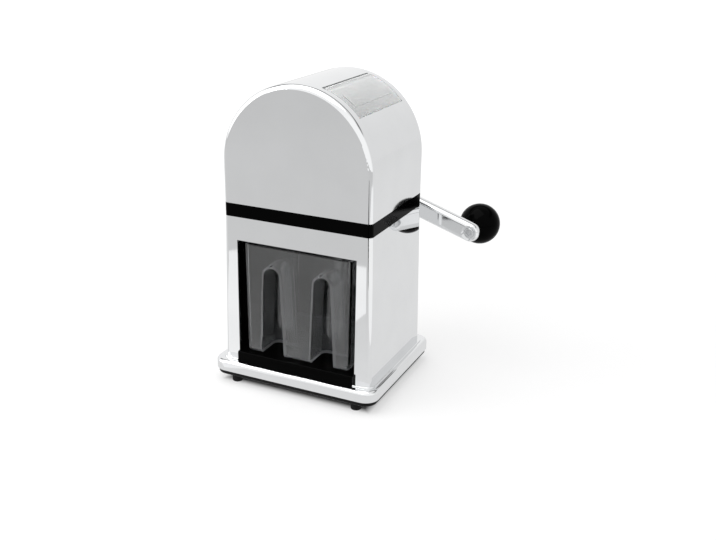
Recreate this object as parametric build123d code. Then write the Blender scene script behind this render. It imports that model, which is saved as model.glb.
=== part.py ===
from build123d import *
import os
from math import cos, degrees, pi, radians, sin

# Hand-cranked ice crusher on a plinth, with an arched hood, a hinged lid and a pull-out ice bin.
#
# Frame: millimetres, +X to the right, +Y to the rear, +Z up. The origin lies on the table
# under the centre of the body's footprint.

os.makedirs("parts", exist_ok=True)

# ---------------------------------------------------------------- driving dimensions
# Body
BODY_W = 133.2          # width at the waist, which is also the width of the arch
BODY_D = 104.0          # depth at the waist
BODY_FLARE = 2.0        # how far each lower wall stands out at its foot
CORNER_R = 4.0          # rounding of the body's corners and of the hood's rim
INNER_CORNER = 0.6      # least rounding of an inner corner
WALL = 2.4              # chromed shell
FOOT_H = 7.6            # foot, below the pan
PAN_H = 3.8             # black under-pan
PLINTH_H = 9.6          # plinth slab
COLLAR_H = 1.0          # raised collar on the plinth, round the body
LOWER_H = 126.3         # lower body
BAND_H = 11.3           # black waist band
HOOD_STRAIGHT = 34.8    # upright part of the hood, below the arch

# Plinth, pan and feet
PLINTH_W = 152.5
PLINTH_D = 129.0
PLINTH_CORNER = 12.0
PLINTH_EDGE = 3.0       # rounding of the plinth's upper edge
PLINTH_LOW_EDGE = 0.8
PLINTH_TOP_T = 3.0
PLINTH_RIM_T = 4.0
PLINTH_BOSS_R = 4.6
COLLAR_W = 3.5          # how far the collar shows outside the body
COLLAR_EDGE = 0.5
PAN_INSET = 1.5
PAN_T = 2.0
PAN_EDGE = 1.2
PAN_BOSS_WALL = 2.0     # wall round a screw head's recess and round a foot's stem
FOOT_R = 4.6
FOOT_STEM_R = 2.5
FOOT_STEM_H = 2.6
FOOT_EDGE = 1.0
FOOT_INSET_X = 19.3     # foot centre from the plinth's side edge
FOOT_INSET_Y = 10.0     # foot centre from the plinth's front or rear edge

# Window, bay and ice bin
JAMB = 12.1             # chrome left standing beside the window
LINTEL = 19.8           # chrome left standing above the window
BAY_WALL = 1.6
BAY_FLOOR_H = 7.2
BAY_FLOOR_T = 2.0
BAY_SIDE_GAP = 6.7      # room beside the bin's foot
BAY_REAR_GAP = 9.0      # from the bay's rear wall to the inside of the body
SILL_PROUD = 3.2        # sill in front of the foot of the front face
SILL_EDGE = 1.5
GUIDE_H = 3.0
GUIDE_T = 2.0
GUIDE_END_GAP = 4.0
BIN_SETBACK = 0.7       # bin face behind the body's front face
BIN_WALL = 2.2
BIN_DRAFT = 0.9         # how far each side stands out at the rim
BIN_CORNER = 3.6
BIN_FOOT_R = 2.5        # rounding of the bin's bottom edge
BIN_HEADROOM = 3.0      # bin rim below the top of the window
FLUTE_X = 23.3          # centre of each finger flute
FLUTE_TOP_R = 7.5
FLUTE_FOOT_W = 22.0
FLUTE_DEPTH = 25.0
FLUTE_BACK_R = 5.0
FLUTE_ROOF = 17.5       # flute crown below the bin's rim

# Waist frame
SPIGOT_H = 3.0
SPIGOT_T = 1.8
DECK_T = 3.0
DECK_BOSS_H = 4.0
BEARING_BOSS_R = 8.6
FRONT_BUSH_L = 5.0

# Crushing mechanism
BLADES = 5
BLADE_T = 3.0
BLADE_R = 24.0
BLADE_HUB_R = 11.0
BLADE_TWIST = 24.0      # each blade is turned this much from the one before it
TINES = 3
TINE_ROOT_LEAD = 28.0   # degrees from a tine's own radius to its leading edge, at the hub
TINE_MID_LEAD = 14.0
TINE_TIP_LEAD = 8.0
TINE_TIP_TRAIL = 2.0
TINE_MID_TRAIL = -24.0
TINE_ROOT_TRAIL = -62.0
STACK_INSET = 11.5      # end of the stack of blades from the body's front or rear face
SPACER_R = 8.0
HEX_AF = 8.5
JOURNAL_R = 4.0
STACK_END_GAP = 0.5     # stack of blades to the bush at each end
BUSH_WALL = 1.15
BUSH_FLANGE_R = 10.0
BUSH_FLANGE_T = 2.0
BUSH_FLANGE_EDGE = 0.8
TIP_GAP = 2.0           # blade tip to comb plate
COMB_T = 2.0
COMB_H = 21.0
COMB_RISE = 1.5         # comb's middle above the shaft
TOOTH_T = 3.0
TOOTH_GAP = 2.5         # tooth end to spacer
TOOTH_TIP_H = 5.0
TOOTH_WAIST_H = 10.0
CHAMBER_WALL = 2.5
CHAMBER_CORNER = 3.0
CHAMBER_RIM_GAP = 4.0   # chamber rim above the blade tips
CHAMBER_SKIRT = 1.0     # chamber's lower edge above the window
FLANGE_W = 8.0
FLANGE_T = 2.5
FLANGE_END = 6.0        # flange beyond its screws

# Hopper and lid
LID_FROM = 17.8         # hinge axis, degrees from the crown towards +X
LID_TO = 48.5           # lid's free edge, degrees from the crown
OPENING_INSET = 10.5    # end of the filling opening from the body's front or rear face
LID_EDGE_GAP = 0.6
HINGE_PIN_R = 0.75
HINGE_DEPTH = 1.2       # hinge axis below the hood's surface
KNUCKLE_R = 1.6
HINGE_GAP = 1.0         # knuckle to the hood's edge
HINGE_LUG_L = 4.0
HINGE_LUG_T = 2.0
HINGE_LUG_HALF = 2.0    # degrees to each side of the hinge
HINGE_STOP = 0.5        # closed end of the pin's hole
LID_LIFT = 0.3          # underside of the lid above the hood's inner surface
LID_PAD_FROM = 29.0
LID_PAD_TO = 40.8
LID_PAD_H = 0.5
LID_PAD_INSET = 6.0
HOPPER_T = 2.0
LEDGE_T = 1.8
LEDGE_W = 3.5           # ledge under the hood's edge
LEDGE_SETBACK = 2.8     # degrees from the hinge to the ledge
MOUTH_FROM = 22.0
MOUTH_TO = 47.0
MOUTH_INSET = 3.5       # end of the chute's mouth from the end of the opening
COLLAR_LAP = 5.0        # hopper collar over the chamber rim

# Crank
ARM_L = 108.0
ARM_DROP = 18.3         # degrees below level at rest
ARM_W = 17.0
ARM_T = 9.0
ARM_CROWN = 4.0
ARM_REAR_EDGE = 2.5
HUB_EDGE = 1.0
ARM_STANDOFF = 25.0     # arm's front face behind the body's rear face
ARM_WEB = 2.2           # metal left behind the shaft's end, under the screw
HUB_R = 9.0
HUB_DRAFT = 0.6
FLAT_AF = 6.4           # across the two flats on the shaft's end
FLATS_SETBACK = 4.0     # hub's front end to the flats
RECESS_R = 6.8
RECESS_DEPTH = 3.0
KNOB_R = 18.3
KNOB_NECK = 4.8         # arm to the ball's nearest point
KNOB_FLAT = 0.8         # depth of the flat where the spindle enters
KNOB_CAP_T = 5.0
SPINDLE_R = 4.0
SPINDLE_HEAD_R = 6.4
SPINDLE_HEAD_T = 2.5

# Screws
SCREW_R = 1.6
SCREW_HEAD_R = 3.0
SCREW_HEAD_T = 2.4
HEAD_ROUNDING = 0.9
HEAD_SUNK = 0.4         # base screw heads above the pan's underside
HEAD_ROOM = 1.2         # comb screw heads above the chamber's flange
BOSS_R = 3.6
BOSS_H = 12.0
BOSS_END = 2.0          # boss beyond its screw's end
HOLE_END = 1.5          # boss beyond its hole's end
DECK_SCREW_REACH = 2.0  # chamber screws below the deck
BASE_SCREW_Y = 30.0
CHAMBER_SCREW_Y = 25.0
COMB_SCREW_SHORT = 0.1  # comb screws end this much inside the plate
CRANK_SCREW_R = 2.4
CRANK_SCREW_HEAD_R = 4.6
CRANK_SCREW_L = 14.0
KNOB_SCREW_REACH = 10.0

# Clearances
SEAT = 0.05             # round seat that doesn't turn
RUN = 0.06              # radial clearance of what turns
SLIP = 0.2              # side clearance of what is dropped in
LIE = 0.3               # under or beside what slides or swings
FUSE = 0.5              # how far a boss or a rib reaches into the wall that carries it
OVER = 1.0              # how far a cut runs past what it cuts

# ---------------------------------------------------------------- levels and half sizes
Z_PAN = FOOT_H
Z_PLINTH = Z_PAN + PAN_H
Z_COLLAR = Z_PLINTH + PLINTH_H
Z_BODY = Z_COLLAR + COLLAR_H
Z_BAND = Z_BODY + LOWER_H
Z_HOOD = Z_BAND + BAND_H
Z_DOME = Z_HOOD + HOOD_STRAIGHT
Z_SHAFT = Z_BAND + BAND_H / 2
Z_WINDOW = Z_BAND - LINTEL
Z_DECK = Z_BAND + DECK_T

HALF_W = BODY_W / 2
HALF_D = BODY_D / 2
DOME_R = HALF_W
DOME_IN = DOME_R - WALL
WINDOW_HALF = HALF_W - JAMB
BAY_HALF = WINDOW_HALF + SLIP
LINER_FRONT = -HALF_D + WALL + SLIP
BAY_REAR = HALF_D - WALL - BAY_REAR_GAP
Z_FLOOR = Z_BODY + BAY_FLOOR_H
BIN_HALF = BAY_HALF - BAY_SIDE_GAP
BIN_FRONT = -HALF_D + BIN_SETBACK
BIN_REAR = BAY_REAR - LIE
BIN_FOOT = Z_FLOOR + LIE
BIN_TOP = Z_WINDOW - BIN_HEADROOM

BOSS_X = HALF_W - WALL - SCREW_HEAD_R - SLIP
BOSS_Y = HALF_D - WALL - SCREW_HEAD_R - SLIP
BASE_SCREW_X = BOSS_X + BODY_FLARE
FOOT_X = PLINTH_W / 2 - FOOT_INSET_X
FOOT_Y = PLINTH_D / 2 - FOOT_INSET_Y

STACK_HALF = HALF_D - STACK_INSET
SPACER_L = (2 * STACK_HALF - BLADES * BLADE_T) / (BLADES + 1)
PITCH = BLADE_T + SPACER_L
CHAMBER_X = BLADE_R + TIP_GAP + COMB_T
CHAMBER_Y = STACK_HALF - CHAMBER_WALL
CHAMBER_OUT_X = CHAMBER_X + CHAMBER_WALL
CHAMBER_SCREW_X = CHAMBER_OUT_X + FLANGE_W / 2
Z_CHAMBER_TOP = Z_SHAFT + BLADE_R + CHAMBER_RIM_GAP
Z_CHAMBER_FOOT = Z_WINDOW + CHAMBER_SKIRT
BUSH_FACE = STACK_HALF + STACK_END_GAP
BUSH_R = JOURNAL_R + RUN + BUSH_WALL
BUSH_FLANGE_Y = HALF_D + SLIP
COMB_LOW = Z_SHAFT - COMB_H / 2 + COMB_RISE
COMB_SCREW_Y = PITCH / 2
COMB_SCREW_Z = Z_DECK + FLANGE_T + SCREW_HEAD_R + HEAD_ROOM

HINGE_R = DOME_R - HINGE_DEPTH
HINGE_X = HINGE_R * sin(radians(LID_FROM))
HINGE_Z = Z_DOME + HINGE_R * cos(radians(LID_FROM))
OPENING_FROM = LID_FROM - degrees((KNUCKLE_R + HINGE_GAP) / DOME_R)
OPENING_TO = LID_TO + degrees(LID_EDGE_GAP / DOME_R)
OPENING_HALF_Y = HALF_D - OPENING_INSET
MOUTH_HALF_Y = OPENING_HALF_Y - MOUTH_INSET
LID_HALF_Y = OPENING_HALF_Y - LID_EDGE_GAP
LUG_END = OPENING_HALF_Y + HINGE_LUG_L
LEDGE_R = DOME_IN - SEAT

ARM_FRONT = HALF_D + ARM_STANDOFF
ARM_REAR = ARM_FRONT + ARM_T
HUB_START = BUSH_FLANGE_Y + BUSH_FLANGE_T + LIE
FLATS_FROM = HUB_START + FLATS_SETBACK
SHAFT_END = ARM_REAR - ARM_WEB - LIE
KNOB_X = ARM_L * cos(radians(ARM_DROP))
KNOB_Z = Z_SHAFT - ARM_L * sin(radians(ARM_DROP))
KNOB_Y = ARM_REAR + KNOB_NECK + KNOB_R
SPINDLE_END = KNOB_Y + KNOB_R - KNOB_CAP_T - LIE


# ---------------------------------------------------------------- shared operations
def upright(profile, z_from, z_to):
    """Extrude an XY profile from one level to another."""
    return extrude(Plane.XY.offset(z_from) * profile, amount=z_to - z_from)


def along_y(profile, y_from, y_to):
    """Extrude an XZ profile, drawn as (x, z), from one depth to another."""
    return extrude(Plane.XZ.offset(-y_to) * profile, amount=y_to - y_from)


def rod_y(radius, x, z, y_from, y_to):
    return along_y(Pos(x, z) * Circle(radius), y_from, y_to)


def rod_z(radius, x, y, z_from, z_to):
    return upright(Pos(x, y) * Circle(radius), z_from, z_to)


def rod_x(radius, y, z, x_from, x_to):
    low, high = sorted((x_from, x_to))
    return extrude(Plane.YZ.offset(low) * (Pos(y, z) * Circle(radius)), amount=high - low)


def block(x_from, x_to, y_from, y_to, z_from, z_to):
    size = (x_to - x_from, y_to - y_from, z_to - z_from)
    return Pos((x_from + x_to) / 2, (y_from + y_to) / 2, (z_from + z_to) / 2) * Box(*size)


def four(x, y):
    """The four places of a pattern that is symmetrical about both centre planes."""
    return [(sx * x, sy * y) for sx in (-1, 1) for sy in (-1, 1)]


def body_outline(inset, corner=INNER_CORNER):
    return RectangleRounded(BODY_W - 2 * inset, BODY_D - 2 * inset, max(corner, INNER_CORNER))


def arch(inset):
    """The hood's front outline: an upright rectangle under a half circle."""
    half = HALF_W - inset
    sides = Polyline((-half, Z_DOME), (-half, Z_HOOD), (half, Z_HOOD), (half, Z_DOME))
    crown = ThreePointArc((half, Z_DOME), (0, Z_DOME + half), (-half, Z_DOME))
    return make_face(sides + crown)


def on_dome(radius, angle):
    """A point (x, z) about the arch's axis, the angle counted from the crown towards +X."""
    return (radius * sin(radians(angle)), Z_DOME + radius * cos(radians(angle)))


def sector(r_in, r_out, a_from, a_to):
    """A piece of ring about the arch's axis."""
    middle = (a_from + a_to) / 2
    outer = ThreePointArc(on_dome(r_out, a_from), on_dome(r_out, middle), on_dome(r_out, a_to))
    inner = ThreePointArc(on_dome(r_in, a_to), on_dome(r_in, middle), on_dome(r_in, a_from))
    end = Line(on_dome(r_out, a_to), on_dome(r_in, a_to))
    start = Line(on_dome(r_in, a_from), on_dome(r_out, a_from))
    return make_face(outer + end + inner + start)


def pan_head(radius, head_r, length):
    """A screw that points up, its head's underside at z = 0."""
    head = Pos(0, 0, -SCREW_HEAD_T / 2) * Cylinder(head_r, SCREW_HEAD_T)
    head = fillet(head.edges().sort_by(Axis.Z)[0], HEAD_ROUNDING)
    return head + Pos(0, 0, length / 2) * Cylinder(radius, length)


# ---------------------------------------------------------------- base
def base_plinth():
    """Cast plinth: rounded slab, hollow underneath, with a raised collar notched for the sill."""
    slab = upright(RectangleRounded(PLINTH_W, PLINTH_D, PLINTH_CORNER), Z_PLINTH, Z_COLLAR)
    slab = fillet(slab.faces().sort_by(Axis.Z)[-1].edges(), PLINTH_EDGE)
    slab = fillet(slab.faces().sort_by(Axis.Z)[0].edges(), PLINTH_LOW_EDGE)
    grow = BODY_FLARE + COLLAR_W
    collar = upright(body_outline(-grow, CORNER_R + grow), Z_COLLAR - FUSE, Z_BODY)
    collar = fillet(collar.faces().sort_by(Axis.Z)[-1].edges(), COLLAR_EDGE)
    hollow_w = PLINTH_W - 2 * PLINTH_RIM_T
    hollow_d = PLINTH_D - 2 * PLINTH_RIM_T
    hollow = RectangleRounded(hollow_w, hollow_d, PLINTH_CORNER - PLINTH_RIM_T)
    plinth = slab + collar - upright(hollow, Z_PLINTH, Z_COLLAR - PLINTH_TOP_T)
    notch_front = -HALF_D - grow - OVER
    plinth -= block(-WINDOW_HALF, WINDOW_HALF, notch_front, LINER_FRONT + SLIP, Z_COLLAR, Z_BODY + OVER)
    for x, y in four(BASE_SCREW_X, BASE_SCREW_Y):
        plinth += rod_z(PLINTH_BOSS_R, x, y, Z_PLINTH, Z_COLLAR - FUSE)
    for x, y in four(BASE_SCREW_X, BASE_SCREW_Y):
        plinth -= rod_z(SCREW_R + SEAT, x, y, Z_PLINTH - OVER, Z_BODY + OVER)
    return plinth


def base_pan():
    """Black tray that closes the plinth and carries the feet."""
    corner = PLINTH_CORNER - PAN_INSET
    pan_w = PLINTH_W - 2 * PAN_INSET
    pan_d = PLINTH_D - 2 * PAN_INSET
    pan = upright(RectangleRounded(pan_w, pan_d, corner), Z_PAN, Z_PLINTH)
    pan = fillet(pan.faces().sort_by(Axis.Z)[0].edges(), PAN_EDGE)
    tray = RectangleRounded(pan_w - 2 * PAN_T, pan_d - 2 * PAN_T, corner - PAN_T)
    pan -= upright(tray, Z_PAN + PAN_T, Z_PLINTH)
    for x, y in four(BASE_SCREW_X, BASE_SCREW_Y):
        pan += rod_z(SCREW_HEAD_R + PAN_BOSS_WALL, x, y, Z_PAN + FUSE, Z_PLINTH)
        pan -= rod_z(SCREW_HEAD_R + SLIP, x, y, Z_PAN - OVER, Z_PAN + SCREW_HEAD_T + HEAD_SUNK)
        pan -= rod_z(SCREW_R + SEAT, x, y, Z_PAN, Z_PLINTH + OVER)
    for x, y in four(FOOT_X, FOOT_Y):
        pan += rod_z(FOOT_STEM_R + PAN_BOSS_WALL, x, y, Z_PAN + FUSE, Z_PLINTH)
        pan -= rod_z(FOOT_STEM_R + SEAT, x, y, Z_PAN - OVER, Z_PAN + FOOT_STEM_H + SLIP)
    return pan


def foot(x, y):
    """Rubber foot with a stem pushed up into the pan."""
    pad = Pos(0, 0, FOOT_H / 2) * Cylinder(FOOT_R, FOOT_H)
    pad = fillet(pad.edges().sort_by(Axis.Z)[0], FOOT_EDGE)
    stem = rod_z(FOOT_STEM_R, 0, 0, FOOT_H, FOOT_H + FOOT_STEM_H)
    return Pos(x, y, 0) * (pad + stem)


def base_screws():
    """Four screws up through the pan and the plinth into the lower body."""
    seat = Z_PAN + SCREW_HEAD_T + HEAD_SUNK
    screw = pan_head(SCREW_R, SCREW_HEAD_R, Z_BODY + BOSS_H - BOSS_END - seat)
    return Compound(children=[Pos(x, y, seat) * screw for x, y in four(BASE_SCREW_X, BASE_SCREW_Y)])


# ---------------------------------------------------------------- lower body and bay
def lower_housing():
    """Chromed box with a slight draft, open at both ends, with the bay window in front."""
    def tube(inset, corner):
        foot_outline = Plane.XY.offset(Z_BODY) * body_outline(inset - BODY_FLARE, corner)
        top_outline = Plane.XY.offset(Z_BAND) * body_outline(inset, corner)
        return loft([foot_outline, top_outline], ruled=True)

    housing = tube(0, CORNER_R) - tube(WALL, CORNER_R - WALL)
    front = -HALF_D - BODY_FLARE - OVER
    housing -= block(-WINDOW_HALF, WINDOW_HALF, front, -HALF_D + WALL + OVER, Z_BODY - OVER, Z_WINDOW)
    top_boss = Z_BAND - SPIGOT_H
    for x, y in four(BOSS_X, BOSS_Y):
        housing += rod_z(BOSS_R, x, y, top_boss - BOSS_H, top_boss)
        housing -= rod_z(SCREW_R + SEAT, x, y, top_boss - BOSS_H - OVER, top_boss + OVER)
    for x, y in four(BASE_SCREW_X, BASE_SCREW_Y):
        housing += rod_z(BOSS_R, x, y, Z_BODY, Z_BODY + BOSS_H)
        housing -= rod_z(SCREW_R + SEAT, x, y, Z_BODY - OVER, Z_BODY + BOSS_H - HOLE_END)
    return housing


def bay_liner():
    """Black liner that the bin slides into: floor, sill, guides, two sides and a back."""
    outer = BAY_HALF + BAY_WALL
    top = Z_BAND - SPIGOT_H - OVER
    liner = block(-outer, outer, LINER_FRONT, BAY_REAR + BAY_WALL, Z_BODY, top)
    liner -= block(-BAY_HALF, BAY_HALF, LINER_FRONT - OVER, BAY_REAR, Z_FLOOR, top + OVER)
    hollow = BAY_HALF - BAY_FLOOR_T
    hollow_front = LINER_FRONT + BAY_FLOOR_T
    hollow_rear = BAY_REAR - BAY_FLOOR_T
    liner -= block(-hollow, hollow, hollow_front, hollow_rear, Z_BODY - OVER, Z_FLOOR - BAY_FLOOR_T)
    sill = WINDOW_HALF - SLIP
    sill_front = -HALF_D - BODY_FLARE - SILL_PROUD
    sill_solid = block(-sill, sill, sill_front, LINER_FRONT, Z_COLLAR, Z_FLOOR)
    front_edges = sill_solid.edges().filter_by(Axis.X).sort_by(Axis.Y)[:2]
    liner += fillet(front_edges.sort_by(Axis.Z)[-1], SILL_EDGE)
    guide_in = BIN_HALF + LIE
    for side in (-1, 1):
        low, high = sorted((side * guide_in, side * (guide_in + GUIDE_T)))
        y_from = LINER_FRONT + GUIDE_END_GAP
        liner += block(low, high, y_from, BAY_REAR - GUIDE_END_GAP, Z_FLOOR - FUSE, Z_FLOOR + GUIDE_H)
    return liner


def flute(x, grow):
    """The room for one finger: an arch that widens downwards, with a rounded back."""
    crown_z = BIN_TOP - FLUTE_ROOF - FLUTE_TOP_R
    crown_r = FLUTE_TOP_R + grow
    foot_half = FLUTE_FOOT_W / 2 + grow
    foot_z = BIN_FOOT - 2 * BIN_WALL
    legs = Polyline((-crown_r, crown_z), (-foot_half, foot_z), (foot_half, foot_z), (crown_r, crown_z))
    crown = ThreePointArc((crown_r, crown_z), (0, crown_z + crown_r), (-crown_r, crown_z))
    back = BIN_FRONT + FLUTE_DEPTH + grow
    room = along_y(make_face(legs + crown), BIN_FRONT - 2 * BIN_WALL, back)
    rim = [e for e in room.faces().sort_by(Axis.Y)[-1].edges() if e.center().Z > BIN_FOOT]
    return Pos(x, 0, 0) * fillet(rim, FLUTE_BACK_R + grow)


def ice_bin():
    """Clear open bin, wider at its rim, whose front is drawn inwards in two finger flutes."""
    def tub(inset, z_from, z_to):
        def outline(z):
            draft = BIN_DRAFT * (z - BIN_FOOT) / (BIN_TOP - BIN_FOOT)
            width = 2 * (BIN_HALF + draft - inset)
            rear = BIN_REAR - BIN_DRAFT + draft - inset
            front = BIN_FRONT + inset
            rounded = RectangleRounded(width, rear - front, BIN_CORNER - inset)
            return Plane.XY.offset(z) * (Pos(0, (rear + front) / 2) * rounded)

        return loft([outline(z_from), outline(z_to)], ruled=True)

    outer = tub(0, BIN_FOOT, BIN_TOP)
    outer = fillet(outer.faces().sort_by(Axis.Z)[0].edges(), BIN_FOOT_R)
    inner = tub(BIN_WALL, BIN_FOOT + BIN_WALL, BIN_TOP + OVER)
    for side in (-1, 1):
        inner -= flute(side * FLUTE_X, BIN_WALL)
    shell = outer - inner
    for side in (-1, 1):
        shell -= flute(side * FLUTE_X, 0)
    return shell


# ---------------------------------------------------------------- waist frame and bearings
def waist_frame():
    """Black frame between the shells: visible band, deck with a throat, and both bearings."""
    spigot_in = WALL + SLIP + SPIGOT_T
    frame = upright(body_outline(0, CORNER_R), Z_BAND, Z_HOOD)
    spigot = upright(body_outline(WALL + SLIP, CORNER_R - WALL), Z_BAND - SPIGOT_H, Z_HOOD + SPIGOT_H)
    frame += spigot
    for z_from, z_to in ((Z_BAND - SPIGOT_H - OVER, Z_BAND), (Z_DECK, Z_HOOD + SPIGOT_H + OVER)):
        frame -= upright(body_outline(spigot_in), z_from, z_to)
    throat_x = CHAMBER_OUT_X + SLIP
    throat_y = STACK_HALF + SLIP
    frame -= block(-throat_x, throat_x, -throat_y, throat_y, Z_BAND - OVER, Z_DECK + OVER)
    for x, y in four(BOSS_X, BOSS_Y):
        frame += rod_z(BOSS_R, x, y, Z_BAND - SPIGOT_H, Z_HOOD + SPIGOT_H) & spigot
    wall_in = HALF_D - spigot_in
    for y_from, y_to in ((-wall_in - FUSE, -BUSH_FACE), (BUSH_FACE, wall_in + FUSE)):
        frame += rod_y(BEARING_BOSS_R, 0, Z_SHAFT, y_from, y_to)
    frame -= rod_y(BUSH_R + SEAT, 0, Z_SHAFT, -BUSH_FACE - FRONT_BUSH_L - SLIP, -BUSH_FACE + OVER)
    frame -= rod_y(BUSH_R + SEAT, 0, Z_SHAFT, BUSH_FACE - OVER, HALF_D + OVER)
    for x, y in four(BOSS_X, BOSS_Y):
        frame -= rod_z(SCREW_R + SEAT, x, y, Z_BAND - SPIGOT_H - OVER, Z_HOOD + SPIGOT_H + OVER)
    for x, y in four(CHAMBER_SCREW_X, CHAMBER_SCREW_Y):
        frame += rod_z(BOSS_R, x, y, Z_BAND - DECK_BOSS_H, Z_BAND + FUSE)
        frame -= rod_z(SCREW_R + SEAT, x, y, Z_BAND - DECK_SCREW_REACH - OVER, Z_DECK + OVER)
    return frame


def front_bush():
    front = -BUSH_FACE - FRONT_BUSH_L
    tube = rod_y(BUSH_R, 0, Z_SHAFT, front, -BUSH_FACE)
    return tube - rod_y(JOURNAL_R + RUN, 0, Z_SHAFT, front - OVER, -BUSH_FACE + OVER)


def rear_bush():
    """Bush with a flange that covers the band's hole."""
    flange_end = BUSH_FLANGE_Y + BUSH_FLANGE_T
    bush = rod_y(BUSH_R, 0, Z_SHAFT, BUSH_FACE, BUSH_FLANGE_Y)
    flange = rod_y(BUSH_FLANGE_R, 0, Z_SHAFT, BUSH_FLANGE_Y, flange_end)
    flange = fillet(flange.edges().sort_by(Axis.Y)[-1], BUSH_FLANGE_EDGE)
    return bush + flange - rod_y(JOURNAL_R + RUN, 0, Z_SHAFT, BUSH_FACE - OVER, flange_end + OVER)


# ---------------------------------------------------------------- crushing chamber
def crusher_chamber():
    """Open-ended box round the blades, hung in the deck by two side flanges."""
    outline = RectangleRounded(2 * CHAMBER_OUT_X, 2 * STACK_HALF, CHAMBER_CORNER)
    chamber = upright(outline, Z_CHAMBER_FOOT, Z_CHAMBER_TOP)
    flange_y = CHAMBER_SCREW_Y + FLANGE_END
    for side in (-1, 1):
        low, high = sorted((side * (CHAMBER_OUT_X - FUSE), side * (CHAMBER_OUT_X + FLANGE_W)))
        chamber += block(low, high, -flange_y, flange_y, Z_DECK, Z_DECK + FLANGE_T)
    room = Rectangle(2 * CHAMBER_X, 2 * CHAMBER_Y)
    chamber -= upright(room, Z_CHAMBER_FOOT - OVER, Z_CHAMBER_TOP + OVER)
    chamber -= rod_y(SPACER_R + OVER, 0, Z_SHAFT, -STACK_HALF - OVER, STACK_HALF + OVER)
    for x, y in four(CHAMBER_SCREW_X, CHAMBER_SCREW_Y):
        chamber -= rod_z(SCREW_R + SEAT, x, y, Z_DECK - OVER, Z_DECK + FLANGE_T + OVER)
    for side in (-1, 1):
        x_from = side * (CHAMBER_X - OVER)
        x_to = side * (CHAMBER_OUT_X + OVER)
        for y in (-COMB_SCREW_Y, COMB_SCREW_Y):
            chamber -= rod_x(SCREW_R + SEAT, y, COMB_SCREW_Z, x_from, x_to)
    return chamber


def comb(side):
    """Fixed comb: a plate on the chamber's wall with teeth that reach in between the blades."""
    plate_in = CHAMBER_X - COMB_T
    root = plate_in + FUSE
    tip = SPACER_R + TOOTH_GAP
    waist = (plate_in + tip) / 2
    low = COMB_LOW
    high = COMB_LOW + COMB_H
    tip_low = Z_SHAFT - TOOTH_TIP_H / 2
    tip_high = Z_SHAFT + TOOTH_TIP_H / 2
    bottom = ThreePointArc((root, low), (waist, Z_SHAFT - TOOTH_WAIST_H / 2), (tip, tip_low))
    end = Line((tip, tip_low), (tip, tip_high))
    top = ThreePointArc((tip, tip_high), (waist, Z_SHAFT + TOOTH_WAIST_H / 2), (root, high))
    tooth = make_face(bottom + end + top + Line((root, high), (root, low)))
    solid = block(plate_in, CHAMBER_X, -CHAMBER_Y + SLIP, CHAMBER_Y - SLIP, low, high)
    for index in range(BLADES + 1):
        y = (index - BLADES / 2) * PITCH
        solid += along_y(tooth, y - TOOTH_T / 2, y + TOOTH_T / 2)
    for y in (-COMB_SCREW_Y, COMB_SCREW_Y):
        solid -= rod_x(SCREW_R + SEAT, y, COMB_SCREW_Z, plate_in - OVER, CHAMBER_X + OVER)
    return solid if side > 0 else mirror(solid, about=Plane.YZ)


def comb_screws():
    """Two screws a side, from outside the chamber into each comb's plate."""
    screw = pan_head(SCREW_R, SCREW_HEAD_R, CHAMBER_WALL + COMB_T - COMB_SCREW_SHORT)
    placed = []
    for side in (-1, 1):
        for y in (-COMB_SCREW_Y, COMB_SCREW_Y):
            placed.append(Pos(side * CHAMBER_OUT_X, y, COMB_SCREW_Z) * Rot(0, -90 * side, 0) * screw)
    return Compound(children=placed)


def chamber_screws():
    """Four screws down through the chamber's flanges into the deck."""
    seat = Z_DECK + FLANGE_T
    screw = Rot(180, 0, 0) * pan_head(SCREW_R, SCREW_HEAD_R, FLANGE_T + DECK_T + DECK_SCREW_REACH)
    spots = four(CHAMBER_SCREW_X, CHAMBER_SCREW_Y)
    return Compound(children=[Pos(x, y, seat) * screw for x, y in spots])


# ---------------------------------------------------------------- rotor
def hexagon(clearance):
    return RegularPolygon(HEX_AF / 2 + clearance, 6, major_radius=False)


def rotor_shaft():
    """Hexagonal shaft turned down to a journal at each end, with two flats for the crank."""
    hex_half = STACK_HALF + STACK_END_GAP / 2
    shaft = along_y(Pos(0, Z_SHAFT) * hexagon(0), -hex_half, hex_half)
    shaft += rod_y(JOURNAL_R, 0, Z_SHAFT, -BUSH_FACE - FRONT_BUSH_L + LIE, -hex_half)
    shaft += rod_y(JOURNAL_R, 0, Z_SHAFT, hex_half, SHAFT_END)
    reach = JOURNAL_R + OVER
    for side in (-1, 1):
        low, high = sorted((side * FLAT_AF / 2, side * reach))
        shaft -= block(low, high, FLATS_FROM, SHAFT_END + OVER, Z_SHAFT - reach, Z_SHAFT + reach)
    return shaft - rod_y(CRANK_SCREW_R + SEAT, 0, Z_SHAFT, SHAFT_END - CRANK_SCREW_L, SHAFT_END + OVER)


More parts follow.
